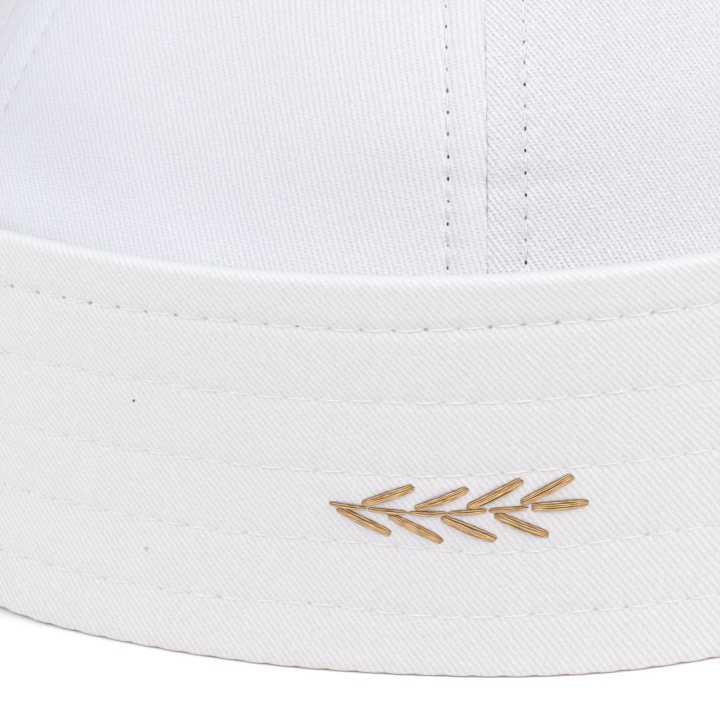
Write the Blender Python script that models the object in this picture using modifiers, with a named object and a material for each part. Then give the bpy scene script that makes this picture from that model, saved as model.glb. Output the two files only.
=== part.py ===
"""Sailor cap: a crown of six gores standing inside an upturned, row-stitched cuff.

Metres, +Z up. The cap rests on the foot of its cuff at z = 0 with its middle over the origin.
The front of the cap looks along -Y, and one seam of the crown runs up the middle of the front.
"""

import math

import bmesh
import bpy
import numpy as np

# Cuff: two plies of stiff twill, folded over at the top
CUFF_FOOT_RADIUS = 0.0970  # outer face at the foot
CUFF_HEIGHT = 0.0556
CUFF_FLARE = 0.069  # outward lean, run over rise
CUFF_THICKNESS = 0.0026
CUFF_FOOT_ROUND = 0.0005
STITCH_ROW_HEIGHTS = (0.0095, 0.0195, 0.0296, 0.0396, 0.0493)
CUFF_STITCH_PULL = 0.0003  # how far a row of stitches draws the cloth in
CUFF_STEPS = 84
CUFF_FOLD_STEPS = 6
CUFF_INNER_STEPS = 4

# Crown: six gores of twill, sewn edge to edge
GORES = 6
CROWN_HEIGHT = 0.0900
CROWN_FOOT_RADIUS = 0.0941  # outer face, 0.3 mm inside the cuff
CROWN_FOOT_LIFT = 0.0008
CROWN_FULLNESS = 3.75  # height falls off with this power of the radius
CROWN_TIP_RADIUS = 0.0014  # the gores stop this far from the middle of the top
CLOTH_THICKNESS = 0.0012
SEAM_THICKNESS = 0.0020  # cloth and its turned-in edge
SEAM_GAP = 0.0003
GORE_FLATNESS = 0.22  # 0 leaves the plan round, 1 makes it a hexagon
GORE_FLAT_FROM = 0.050  # distance up the crown at which the flattening is full
RELIEF_FROM = 0.0125  # distance up the crown at which ditches and stitch lines are full
SEAM_DITCH = 0.0004
SEAM_PLUMP = 0.00012
CROWN_STITCH_PULL = 0.00018
GORE_ROWS = 16
GORE_MIDDLE_COLUMNS = 5
NARROW_RADIUS = 0.026  # inside this radius the edge bands narrow with the gore
MERIDIAN_SAMPLES = 600

# Bands beside a seam of the crown: distance from the seam and how far the face stands out there
EDGE_BANDS = (
    # distance, stand_out, weight of the turned-in edge
    (0.0000, -SEAM_DITCH, 1.0),
    (0.0008, 0.0, 1.0),
    (0.0028, SEAM_PLUMP, 1.0),
    (0.0049, -CROWN_STITCH_PULL, 1.0),
    (0.0066, 0.0, 0.0),
)

# Soft dents of the crown, as the cap stands
DENTS = (
    # azimuth in degrees from the front, distance up from the foot, half width, half height, depth
    (-32.0, 0.067, 0.016, 0.012, 0.0011),
    (21.0, 0.072, 0.012, 0.012, 0.0009),
    (-8.0, 0.106, 0.022, 0.012, 0.0009),
    (84.0, 0.070, 0.024, 0.016, 0.0014),
    (-112.0, 0.078, 0.020, 0.018, 0.0015),
    (158.0, 0.064, 0.026, 0.014, 0.0013),
)

# The cap lies a little out of round
PLAN_WAVES = (
    # lobes round the plan, cosine share of the radius, sine share
    (2, 0.0, -0.0149),
    (4, 0.0043, 0.0101),
)
FOOT_EASES = (
    # azimuth in degrees from the front, half width in degrees, share of the radius that the foot spreads
    (-40.0, 10.0, 0.018),
    (-7.0, 11.0, -0.007),
)
FOOT_EASE_HEIGHT = 0.012  # the foot's spread fades within about this height
CUFF_TOP_LOBES = 2
CUFF_TOP_WAVE = 0.0012  # rise and fall of the fold round the cap

COLLECTION = "sailor_cap"
WHITE_CROWN = (0.86, 0.87, 0.90, 1.0)
WHITE_CUFF = (0.82, 0.81, 0.81, 1.0)
TWILL_ROUGHNESS = 0.92
SHARP_ANGLE = math.radians(50)


def clear_scene():
    for item in list(bpy.data.objects):
        bpy.data.objects.remove(item, do_unlink=True)


def twill(name, colour):
    """White cotton twill, matt, in the colour of one piece."""
    material = bpy.data.materials.new(name)
    material.use_nodes = True
    shader = material.node_tree.nodes["Principled BSDF"]
    shader.inputs["Base Color"].default_value = colour
    shader.inputs["Roughness"].default_value = TWILL_ROUGHNESS
    shader.inputs["Metallic"].default_value = 0.0
    return material


def finished(name, mesh, colour, collection, parent):
    """The object of one piece, smooth, with its own material and its place under the cap."""
    mesh.name = name
    mesh.materials.append(twill(name + "_twill", colour))
    mesh.shade_smooth()
    mesh.set_sharp_from_angle(angle=SHARP_ANGLE)
    piece = bpy.data.objects.new(name, mesh)
    collection.objects.link(piece)
    piece.parent = parent
    return piece


def turn_from(azimuth, degrees):
    """Angle from a direction given in degrees, taken the short way round."""
    return np.angle(np.exp(1j * (azimuth - math.radians(degrees))))


def out_of_round(points):
    """Each point's distance from the axis, eased by the waves of the plan and the spread of the foot."""
    azimuth = np.arctan2(points[:, 0], -points[:, 1])
    share = np.ones(len(points))
    for lobes, cosine, sine in PLAN_WAVES:
        share += cosine * np.cos(lobes * azimuth) + sine * np.sin(lobes * azimuth)
    fade = np.exp(-points[:, 2] / FOOT_EASE_HEIGHT)
    for degrees, half_width, spread in FOOT_EASES:
        turn = turn_from(azimuth, degrees) / math.radians(half_width)
        share += spread * fade * np.exp(-turn ** 2)
    eased = points.copy()
    eased[:, :2] *= share[:, None]
    return eased


def cuff_wave(points):
    """Height above the foot, eased so that the fold rises and falls by CUFF_TOP_WAVE."""
    azimuth = np.arctan2(points[:, 0], -points[:, 1])
    eased = points.copy()
    eased[:, 2] *= 1 + CUFF_TOP_WAVE / CUFF_HEIGHT * np.sin(CUFF_TOP_LOBES * azimuth)
    return eased


def cuff_profile():
    """Closed outline of the cuff in radius and height, from the top of the fold down the outer side."""
    fold = CUFF_THICKNESS / 2
    shoulder = CUFF_HEIGHT - fold

    def outer(height):
        return CUFF_FOOT_RADIUS + CUFF_FLARE * height

    quarter = CUFF_FOLD_STEPS // 2
    turns = [math.pi / 2 * (1 - step / quarter) for step in range(2 * quarter + 1)]
    middle = outer(shoulder) - fold
    arc = [(middle + fold * math.cos(turn), shoulder + fold * math.sin(turn)) for turn in turns]
    outline = arc[:quarter + 1]
    lines = sorted(STITCH_ROW_HEIGHTS, reverse=True)
    for line, below in zip(lines, lines[1:] + [CUFF_FOOT_ROUND]):
        between = (line + below) / 2
        outline.append((outer(line) - CUFF_STITCH_PULL, line))
        outline.append((outer(between), between))
    outline.append((outer(CUFF_FOOT_ROUND), CUFF_FOOT_ROUND))
    outline.append((outer(0) - CUFF_FOOT_ROUND, 0.0))
    outline.append((outer(0) - CUFF_THICKNESS + CUFF_FOOT_ROUND, 0.0))
    rise = (shoulder - CUFF_FOOT_ROUND) / CUFF_INNER_STEPS
    for step in range(CUFF_INNER_STEPS + 1):
        height = CUFF_FOOT_ROUND + step * rise
        outline.append((outer(height) - CUFF_THICKNESS, height))
    inner_arc = [(2 * middle - radius, height) for radius, height in reversed(arc[1:quarter])]
    return outline + inner_arc


def make_cuff(collection, parent):
    """The outline turned about the axis of the cap, then eased out of round."""
    outline = cuff_profile()
    mesh = bpy.data.meshes.new("cuff_outline")
    edges = [(i, (i + 1) % len(outline)) for i in range(len(outline))]
    mesh.from_pydata([(radius, 0.0, height) for radius, height in outline], edges, [])
    guide = bpy.data.objects.new("cuff_outline", mesh)
    collection.objects.link(guide)
    turn = guide.modifiers.new("turn", "SCREW")
    turn.axis = "Z"
    turn.angle = 2 * math.pi
    turn.steps = CUFF_STEPS
    turn.render_steps = CUFF_STEPS
    bpy.context.view_layer.update()
    evaluated = guide.evaluated_get(bpy.context.evaluated_depsgraph_get())
    turned = bpy.data.meshes.new_from_object(evaluated)
    bpy.data.objects.remove(guide, do_unlink=True)
    move(turned, lambda points: cuff_wave(out_of_round(points)))
    return finished("cuff", turned, WHITE_CUFF, collection, parent)


def move(mesh, change):
    """The vertices of a mesh, taken through a function of their places."""
    points = np.empty(len(mesh.vertices) * 3, np.float32)
    mesh.vertices.foreach_get("co", points)
    moved = change(points.reshape(-1, 3).astype(float))
    mesh.vertices.foreach_set("co", moved.astype(np.float32).ravel())
    mesh.update()


def crown_meridian():
    """Radius, height and distance from the foot along a seam: height is H (1 - share of radius ^ fullness)."""
    foot = (1 - CROWN_FOOT_LIFT / CROWN_HEIGHT) ** (1 / CROWN_FULLNESS)
    share = np.linspace(foot, CROWN_TIP_RADIUS / CROWN_FOOT_RADIUS, MERIDIAN_SAMPLES)
    radius = CROWN_FOOT_RADIUS * share
    height = CROWN_HEIGHT * (1 - share ** CROWN_FULLNESS)
    run = np.hypot(np.diff(radius), np.diff(height))
    return radius, height, np.concatenate([[0.0], np.cumsum(run)])


def gore_columns(radius):
    """Azimuths across a gore, from its left seam, with each column's stand-out and turned-in weight."""
    half = math.pi / GORES - SEAM_GAP / 2 / radius
    narrowing = min(1.0, radius / NARROW_RADIUS)
    left = [(-half + distance * narrowing / radius, stand_out, turned_in)
            for distance, stand_out, turned_in in EDGE_BANDS]
    inner = -left[-1][0]
    spacing = 2 * inner / GORE_MIDDLE_COLUMNS
    middle = [(-inner + spacing * step, 0.0, 0.0) for step in range(1, GORE_MIDDLE_COLUMNS)]
    right = [(-angle, stand_out, turned_in) for angle, stand_out, turned_in in reversed(left)]
    return np.array(left + middle + right)


def gore_grid(centre):
    """Places and turned-in weights of a gore's outer face, row by row from the foot to the tip."""
    radius, height, distance = crown_meridian()
    leans = np.arctan2(-np.gradient(radius, distance), np.gradient(height, distance))
    rows = np.linspace(0, distance[-1], GORE_ROWS + 1)
    places, weights = [], []
    for row in rows:
        r, z, lean = (np.interp(row, distance, values) for values in (radius, height, leans))
        offset, stand_out, turned_in = gore_columns(r).T
        azimuth = centre + offset
        flatness = GORE_FLATNESS * min(1.0, row / GORE_FLAT_FROM)
        hexagon = math.cos(math.pi / GORES) / np.cos(offset)
        out = stand_out * min(1.0, row / RELIEF_FROM)
        for degrees, up, half_width, half_height, depth in DENTS:
            across = turn_from(azimuth, degrees) * r / half_width
            out = out - depth * np.exp(-across ** 2 - ((row - up) / half_height) ** 2)
        spread = r * (1 - flatness * (1 - hexagon)) + out * math.cos(lean)
        lift = z + out * math.sin(lean)
        places.append(np.column_stack([spread * np.sin(azimuth), -spread * np.cos(azimuth), lift]))
        weights.append(turned_in)
    return np.concatenate(places), np.concatenate(weights)


def make_gore(number, collection, parent):
    """A grid laid over one sixth of the crown, given the thickness of the cloth and of its turned-in edges."""
    centre = 2 * math.pi * (number - 0.5) / GORES
    places, weights = gore_grid(centre)
    sheet = bmesh.new()
    columns = len(places) // (GORE_ROWS + 1) - 1
    bmesh.ops.create_grid(sheet, x_segments=columns, y_segments=GORE_ROWS, size=1)
    mesh = bpy.data.meshes.new("gore")
    sheet.to_mesh(mesh)
    sheet.free()
    move(mesh, lambda _: out_of_round(places))
    gore = finished(f"crown_gore_{number}", mesh, WHITE_CROWN, collection, parent)
    turned_in = gore.vertex_groups.new(name="turned_in_edge")
    for index, weight in enumerate(weights):
        turned_in.add([index], float(weight), "REPLACE")
    cloth = gore.modifiers.new("cloth", "SOLIDIFY")
    cloth.thickness = SEAM_THICKNESS
    cloth.offset = -1
    cloth.vertex_group = turned_in.name
    cloth.thickness_vertex_group = CLOTH_THICKNESS / SEAM_THICKNESS
    return gore


def main():
    clear_scene()
    collection = bpy.data.collections.new(COLLECTION)
    bpy.context.scene.collection.children.link(collection)
    middle = bpy.data.objects.new("cap_middle", None)
    collection.objects.link(middle)
    make_cuff(collection, middle)
    for number in range(1, GORES + 1):
        make_gore(number, collection, middle)


main()
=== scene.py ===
"""White cotton sailor cap: six twill gores sewn into a dome, standing in an upturned cuff with five rows of stitching.

Metres, +Z up. The cap rests on the foot of its cuff at z = 0, and its front looks along -Y.
A place on the cuff is an azimuth from the front and a level. A place on the crown is a gore, its offset as an angle
from the middle of that gore, its run up the cloth from the foot and its inset from the nearer seam.
"""

import math

import bpy
import numpy as np
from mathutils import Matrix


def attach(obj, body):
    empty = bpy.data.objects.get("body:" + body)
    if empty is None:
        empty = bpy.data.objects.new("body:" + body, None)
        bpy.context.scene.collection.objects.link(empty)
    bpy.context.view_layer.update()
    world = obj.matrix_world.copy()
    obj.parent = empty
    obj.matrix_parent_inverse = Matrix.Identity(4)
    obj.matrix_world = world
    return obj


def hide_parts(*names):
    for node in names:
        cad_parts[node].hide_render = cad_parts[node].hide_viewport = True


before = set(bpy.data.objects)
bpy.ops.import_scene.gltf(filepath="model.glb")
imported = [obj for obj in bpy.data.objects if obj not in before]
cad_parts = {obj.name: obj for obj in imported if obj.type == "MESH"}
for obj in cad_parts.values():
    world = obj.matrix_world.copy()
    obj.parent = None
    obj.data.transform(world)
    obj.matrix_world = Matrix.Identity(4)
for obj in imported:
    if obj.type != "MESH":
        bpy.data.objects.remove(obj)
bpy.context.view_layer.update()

MM = 0.001
FULL_TURN = 2 * math.pi

# Cuff, as in the part's source
CUFF_FOOT_RADIUS = 0.0970
CUFF_HEIGHT = 0.0556
CUFF_FLARE = 0.069
CUFF_THICKNESS = 0.0026
CUFF_TOP_LOBES = 2
CUFF_TOP_WAVE = 0.0012
STITCH_ROW_HEIGHTS = (0.0095, 0.0195, 0.0296, 0.0396, 0.0493)

# Crown, as in the part's source
GORES = 6
CROWN_HEIGHT = 0.0900
CROWN_FOOT_RADIUS = 0.0941
CROWN_FOOT_LIFT = 0.0008
CROWN_FULLNESS = 3.75
CLOTH_THICKNESS = 0.0012
SEAM_THICKNESS = 0.0020
GORE_FLATNESS = 0.22
GORE_FLAT_FROM = 0.050
RELIEF_FROM = 0.0125
NARROW_RADIUS = 0.026
DENTS = (
    # azimuth in degrees from the front, run, half width, half height, depth
    (-32.0, 0.067, 0.016, 0.012, 0.0011),
    (21.0, 0.072, 0.012, 0.012, 0.0009),
    (-8.0, 0.106, 0.022, 0.012, 0.0009),
    (84.0, 0.070, 0.024, 0.016, 0.0014),
    (-112.0, 0.078, 0.020, 0.018, 0.0015),
    (158.0, 0.064, 0.026, 0.014, 0.0013),
    (2.4, 0.0586, 0.009, 0.0011, 0.00022),  # a crease across the front seam, too fine for the source
)

# Plan of the cap, a little out of round, as in the part's source
PLAN_WAVES = (
    # lobes round the plan, cosine share of the radius, sine share
    (2, 0.0, -0.0149),
    (4, 0.0043, 0.0101),
)
FOOT_EASES = (
    # azimuth in degrees from the front, half width in degrees, share of the radius that the foot spreads
    (-40.0, 10.0, 0.018),
    (-7.0, 11.0, -0.007),
)
FOOT_EASE_HEIGHT = 0.012

# Rows of stitching of the cuff, lowest first
CUFF_ROW_STITCHES = (157, 163, 168, 166, 165)
CUFF_STITCH_LENGTH = 3.7 * MM
CUFF_ROW_FIRST_HOLE = (-11.75, -11.84, -10.76, -10.5, -9.36)  # azimuth in degrees of one needle hole
# Of each row, in mm: how far it lies above its level, and its tilt up to the right
CUFF_ROW_STRAY = ((-0.32, 0.30), (-0.22, 0.20), (-0.24, 1.25), (-0.36, 0.80), (-0.20, 0.90))
CUFF_ROW_TILTS_ABOUT = -11.0  # azimuth in degrees
CUFF_ROW_DIPS = (
    # row, azimuth in degrees, half width in degrees, rise in mm
    (0, -14.0, 6.0, 0.70), (0, -3.4, 5.0, -0.35),
    (1, -14.0, 5.0, 0.20), (1, 0.0, 6.0, -1.10),
    (2, -26.0, 6.0, 0.15), (2, -4.0, 5.0, -0.45),
    (3, -24.0, 6.0, 0.25), (3, 0.0, 6.0, -0.25),
    (4, -21.0, 6.0, 0.12), (4, -8.0, 5.0, -0.30),
)
CUFF_ROW_WAVER = 0.09 * MM  # at the sides; none in front and twice as much behind
CUFF_ROW_WAVER_LOBES = (5, 8, 13)
CUFF_ROW_HOLES = (0.35, 0.35, 0.30, 0.25, 1.0)  # how open the needle holes of a row are, in depth and painted shade
CUFF_HOLE_LUCK = (0.35, 1.0)  # a share of that, drawn for each hole

# Relief of the cuff
CUFF_GROOVES = (0.12 * MM, 0.12 * MM, 0.12 * MM, 0.14 * MM, 0.28 * MM)  # how far each row draws the cloth in
CUFF_GROOVE_BEAT = 0.06 * MM  # more at a needle hole, less in the middle of a stitch
CUFF_GROOVE_WIDTH = 0.8 * MM
CUFF_PINCH, CUFF_PINCH_WIDTH = 0.035 * MM, 2.2 * MM  # the same beat in the cloth beside the row
CUFF_PUFF, CUFF_PUFF_WIDTH = 0.04 * MM, 2.6 * MM  # the cloth stands out, but not this near to a row
CUFF_EDGE_CALM = 3.5 * MM  # no relief this near to the foot and the fold
CUFF_WAVE, CUFF_RIPPLE = (0.10 * MM, 48 * MM, 5), (0.022 * MM, 9 * MM, 6)  # depth, size and seed
BACK_SEAM_DITCH, BACK_SEAM_WIDTH = 0.45 * MM, 0.4 * MM
BACK_SEAM_PLUMP = (0.16 * MM, 2.6 * MM, 1.7 * MM)  # swelling beside the ditch, its distance and its width

# Hem at the foot of the cuff, and fold at its top
HEM_STITCHES = 165
HEM_ROUND = 0.42 * MM
HEM_HEIGHT = 1.3 * MM
HEM_BULGE = 0.10 * MM
HEM_NIP = 0.07 * MM  # each stitch of the hem draws it in by this much
HEM_NICK, HEM_NICK_HEIGHT = 0.16 * MM, 0.8 * MM  # and lifts its edge
HEM_LIFT_AT, HEM_LIFT_WIDTH = -45.0, 8.0  # in degrees; there the hem stands off the floor
HEM_LIFT, HEM_LIFT_FADE = 0.85 * MM, 5 * MM
# Painted shade, warm and dark, along the foot where the hem meets the floor, over about this height
HEM_SHADE_HEIGHT = 0.23 * MM
HEM_UNSHADED, HEM_UNSHADED_WIDTH = 0.8, 12.0  # share of the foot's painted shade left out there, where the lifted hem casts its own shadow, and half width in degrees
FOLD_SQUARENESS = 0.78  # 1 is a round fold, less is flatter on top
FOLD_FLAT_AND_LIT, FOLD_BAND, FOLD_BAND_EDGE = 0.9, 0.35 * MM, 0.5 * MM  # a band along the top of the fold, lighter and flatter, is a painted highlight; it starts this far below the top

CUFF_COLUMNS = 800
BACK_SEAM_COLUMNS = np.array((0.12, 0.3, 0.55, 0.9, 1.5, 2.4)) * MM  # distances from the back seam
ROW_STEPS = (-1.6, -0.95, -0.55, -0.25, 0.0, 0.25, 0.55, 0.95, 1.6)  # points about a row, in mm
INNER_ROW_STEPS = (-1.3, -0.5, 0.0, 0.5, 1.3)

CUFF_STAINS = (
    # azimuth in degrees, level, size, colour
    (-26.2, 36.55 * MM, 0.27 * MM, "#5C3400"),
    (-26.3, 15.15 * MM, 0.36 * MM, "#DDBD9F"),
    (-5.7, 6.3 * MM, 0.14 * MM, "#B9A79C"),
)

# Seams and topstitches of the crown
SEAM_OPENING = 0.01 * MM
SEAM_ROLL = 0.06 * MM
SEAM_PLUMP = (0.12 * MM, 2.5 * MM, 1.4 * MM)  # swelling of the turned-in edge, its distance and its width
SEAM_WAVER, SEAM_WAVER_REACH = (0.05 * MM, 1.8 * MM, 24), 0.8 * MM  # depth, size and seed, and its reach
# Painted shade in specks along the crease of each seam, over about this inset
SEAM_SHADE_WIDTH = 0.13 * MM
SEAM_SHADE_LUCK = (-1.0, 0.9)  # below 0 is none, so about half of a seam has painted shade
TURNED_IN = 6.75 * MM  # the cloth is two plies thick up to this inset
TOPSTITCH_DISTANCE = 4.8 * MM
TOPSTITCH_PITCH = 2.75 * MM
TOPSTITCH_STARTS = (2.28 * MM, 1.78 * MM)  # run of a needle hole, left and right edge
TOPSTITCH_ENDS = (4.0 * MM, 135.0 * MM)
TOPSTITCH_DRIFT = 0.40 * MM  # the left row starts this much nearer to the seam
TOPSTITCH_DRIFT_REACH = 22 * MM
TOPSTITCH_GROOVE, TOPSTITCH_BEAT, TOPSTITCH_WIDTH = 0.20 * MM, 0.06 * MM, 0.7 * MM
TOPSTITCH_PINCH, TOPSTITCH_PINCH_WIDTH = 0.03 * MM, 2.0 * MM
CROWN_HOLE_LUCK = (0.62, 1.08)
CROWN_HOLES_UP = ((0.05, 0.09), (1.15, 0.75))  # runs, and how open the holes are there, in depth and painted shade
CROWN_FRONT, CROWN_BACK_HOLES = 32.0, 0.03  # half width in degrees of the front, and how open holes are behind it; painted shade of holes and seam fades behind

# Lie of the crown's cloth
CROWN_TWIST = math.radians(17.9)  # a metre, about the run below
CROWN_TWIST_FROM = 0.075
CROWN_TIP_RADIUS = 0.12 * MM
CROWN_WAVE, CROWN_RIPPLE = (0.16 * MM, 42 * MM, 21), (0.03 * MM, 11 * MM, 22)
CROWN_SWAY = (0.03 * MM, 24 * MM, 23)
CROWN_LOOSE_FROM = 0.03  # the waves are full from this run up
WAVER_RADIUS = 0.01  # within it a seam sways by no wider an angle
MERIDIAN_SAMPLES = 2000
GORE_ROWS = 188
GORE_MIDDLE_COLUMNS = 26
GORE_EDGE_COLUMNS = np.array((0, .05, .12, .22, .36, .6, 1., 1.6, 2.4, 3.2, 3.8, 4.2, 4.5, 4.8, 5.1, 5.4, 5.8, 6.3,
                              6.6, 6.9)) * MM
GORE_CREASE_ANGLE = math.radians(55)  # sharper edges, at the plies, aren't shaded round
# Flatter, lighter weave painted at each gore's left and right edge, for light falling along its ribs; below 0 is none
GORE_LIGHT_WASH = ((-0.1, 0.5), (0.1, 0.1), (0.15, 0.2), (0.2, 0.15), (0.2, 0.5), (0.62, 0.38))
TOP_WASHOUT = ((0.085, 0.11), (0, 0.27))  # runs, and how much flatter and lighter the weave is there
CROWN_TOP_SHADE = ((0.049, 0.057, 0.080, 0.115), (0.0, 0.07, 0.15, 0.26))  # runs, and painted shade that darkens the crown towards its top; the foot has none

# Weave: a twill whose warp passes over two threads of the weft and under the third
CUFF_WARP, CUFF_WEFT = 0.268 * MM, 0.443 * MM  # spacing of the threads
CROWN_WARP, CROWN_WEFT = 0.283 * MM, 0.444 * MM
CUFF_FLOATS = ((1, 0, 1.0), (0, 1, 0.22), (1, -1, 0.15), (2, 0, 0.08))  # as cotton_twill takes them
CROWN_FLOATS = ((1, 0, 1.0), (0, 1, 0.33), (1, -1, 0.27), (2, -1, 0.14), (2, 0, 0.15))
CUFF_LAY_FROM = 0.028
CUFF_LAY = (0.030, 0.67, 0.78, -0.207, -1.13, 2.08, 0.0)  # as laid_cloth takes it
GORE_LAY_FROM = 0.060
GORE_LAYS = (
    (-0.195, 0.0, 0.0, 0.190, 3.25, 0.0, 50.0),
    (-0.120, -0.8, -1.0, 0.020, 3.0, 0.6, 50.0),
    (-0.060, -1.0, 0.5, 0.060, 3.1, 0.4, 50.0),
    (-0.140, -0.6, -1.5, -0.030, 2.9, 0.6, 50.0),
    (-0.080, -1.2, -0.6, 0.050, 3.2, 0.5, 50.0),
    (-0.093, -1.5, -2.4, -0.014, 2.9, 0.65, 50.0),
)
GORE_WARP_EASE = (1.035, 1.0, 1.02, 1.0, 1.01, 1.0)
GORE_WARP_CROWDING = 0.55  # a metre: the threads lie closer towards a gore's left

# Sewing thread, at five points between two needle holes
CUFF_THREAD_PLACES = np.array((0.07, 0.18, 0.5, 0.82, 0.93))
CUFF_THREAD_RISE = np.array((-0.14, 0.0, 0.03, 0.0, -0.14)) * MM
CUFF_THREAD_SLANT = np.array((-0.03, -0.025, 0.0, 0.025, 0.03)) * MM
CUFF_THREAD_RADIUS = 0.12 * MM
CROWN_THREAD_PLACES = np.array((0.11, 0.22, 0.5, 0.78, 0.89))
CROWN_THREAD_RISE = np.array((-0.17, 0.01, 0.04, 0.01, -0.17)) * MM
CROWN_THREAD_RADIUS = 0.13 * MM
THREAD_SWELL = np.array((0.6, 0.95, 1.0, 0.95, 0.6))
THREAD_SIDES = 6
THREAD_END = 0.2 * MM  # painted shade darkens it over about this length at each end, where it dips into a needle hole
STITCH_UNEVENNESS = 0.03  # of a stitch's length
STITCH_STRAY = 0.05 * MM
STITCH_SLACK = 0.02 * MM

# Sprig on the front of the cuff
SPRIG_AZIMUTH = math.radians(-3.05)
SPRIG_LEVEL = 24.8 * MM
SPRIG_SPAN = 30.7 * MM
LEAVES = 8
LEAF_LENGTH = 7.0 * MM
LEAF_WIDTH = 0.98 * MM
LEAF_ANGLE = math.radians(24)
LEAF_STRANDS = 5
LEAF_FROM_STEM = 0.55 * MM
FIRST_LEAF, LAST_LEAF = 0.9 * MM, 1.0 * MM  # distances of the roots from the ends of the stem
STEM_STITCHES = 5
STEM_STRANDS = 3
STEM_WIDTH = 0.42 * MM
STEM_GAP = 0.15 * MM
STEM_WAVE, STEM_WAVE_LENGTH = 0.35 * MM, 26 * MM
STRAND_POINTS = 13
STRAND_SIDES = 8
STRAND_RADIUS = 0.15 * MM
STRAND_SINK, STRAND_ARCH = 0.16 * MM, 0.44 * MM  # its ends dip, its middle stands this much higher
STRAND_STRAY, STRAND_LOOSE, STRAND_REACH = 0.03 * MM, 0.04 * MM, 0.12  # aside, in height, and at its ends in mm
BUNDLE_ENDS = 0.72  # width of a bundle at its ends, as a share
BUNDLE_ROUND = 0.5 * MM  # the outer strands lie lower, by the square of their share


# Shapes

def turn_from(azimuth, degrees):
    """Angle from a direction given in degrees, taken the short way round."""
    return np.angle(np.exp(1j * (azimuth - math.radians(degrees))))


def hill(away, width):
    """A smooth rise: one in its middle, and exp(-1) of that at its width."""
    return np.exp(-(away / width) ** 2)


def ripple(points, unevenness, waves=24):
    """Gentle unevenness: the depth times the sum of sine waves of about one size in seeded directions through space."""
    depth, size, seed = unevenness
    draw = np.random.default_rng(seed)
    ways = draw.normal(size=(waves, 3))
    ways *= (FULL_TURN / size / draw.uniform(0.7, 1.5, waves) / np.linalg.norm(ways, axis=1))[:, None]
    phases = draw.uniform(0, FULL_TURN, waves)
    return depth * (np.sin(points @ ways.T + phases).sum(axis=-1) * math.sqrt(2 / waves))


def stand(azimuth, radius, height):
    """Point at a radius and height, its radius eased by the waves of the plan and the spread of the foot."""
    azimuth, radius, height = np.broadcast_arrays(azimuth, radius, height)
    share = np.ones(azimuth.shape)
    for lobes, cosine, sine in PLAN_WAVES:
        share += cosine * np.cos(lobes * azimuth) + sine * np.sin(lobes * azimuth)
    fade = np.exp(-np.maximum(height, 0) / FOOT_EASE_HEIGHT)
    for degrees, half_width, spread in FOOT_EASES:
        share += spread * fade * hill(turn_from(azimuth, degrees), math.radians(half_width))
    return np.stack([radius * share * np.sin(azimuth), -radius * share * np.cos(azimuth), height], -1)


def fill(data, key, values, kind=np.float32):
    """Set one property of all of a mesh's parts from an array."""
    data.foreach_set(key, np.ascontiguousarray(values, kind).ravel())


def mesh_of(name, points, quads, corner_maps, wear_and_shade):
    """Mesh of quads, turned so that its volume is positive, with the values of each map at the quads' corners.

    Wear and shade is a triple for each point: how much flatter and lighter the weave is, a painted highlight on the
    cuff's fold and mostly painted light on the crown; how open its needle holes are, in depth and painted shade; and
    painted shade.
    """
    corners = points[quads]
    volume = sum(np.einsum("ij,ij->", corners[:, 0], np.cross(corners[:, k], corners[:, k + 1])) for k in (1, 2))
    if volume < 0:
        quads = quads[:, ::-1]
        corner_maps = {key: values[:, ::-1] for key, values in corner_maps.items()}
    mesh = bpy.data.meshes.new(name)
    mesh.vertices.add(len(points))
    fill(mesh.vertices, "co", points)
    mesh.loops.add(quads.size)
    fill(mesh.loops, "vertex_index", quads, np.int32)
    mesh.polygons.add(len(quads))
    fill(mesh.polygons, "loop_start", np.arange(0, quads.size, 4), np.int32)
    for key, values in corner_maps.items():
        fill(mesh.uv_layers.new(name=key).data, "uv", values)
    fill(mesh.attributes.new("wear_and_shade", "FLOAT_VECTOR", "POINT").data, "vector", wear_and_shade)
    mesh.update(calc_edges=True)
    mesh.validate()
    mesh.shade_smooth()
    return mesh


def placed(name, data):
    """A new object in the scene."""
    item = bpy.data.objects.new(name, data)
    bpy.context.scene.collection.objects.link(item)
    return item


def sewn(name, mesh, material, slot, *replaced):
    """One piece in its material, riding on the cap and standing for the plain solids it covers."""
    mesh.materials.append(material)
    item = placed(name, mesh)
    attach(item, "root")
    if replaced:
        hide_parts(*replaced)


def grid_quads(rows, columns, close_rows, close_columns):
    """Quads of a grid, as point numbers and as numbers in a grid with the closing row and column again."""
    wide_rows, wide_columns = rows + close_rows, columns + close_columns
    numbers = np.arange(rows * columns).reshape(rows, columns)
    numbers = numbers[np.arange(wide_rows) % rows][:, np.arange(wide_columns) % columns]
    wide = np.arange(wide_rows * wide_columns).reshape(wide_rows, wide_columns)
    return [np.stack([g[:-1, :-1], g[:-1, 1:], g[1:, 1:], g[1:, :-1]], -1).reshape(-1, 4) for g in (numbers, wide)]


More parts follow.
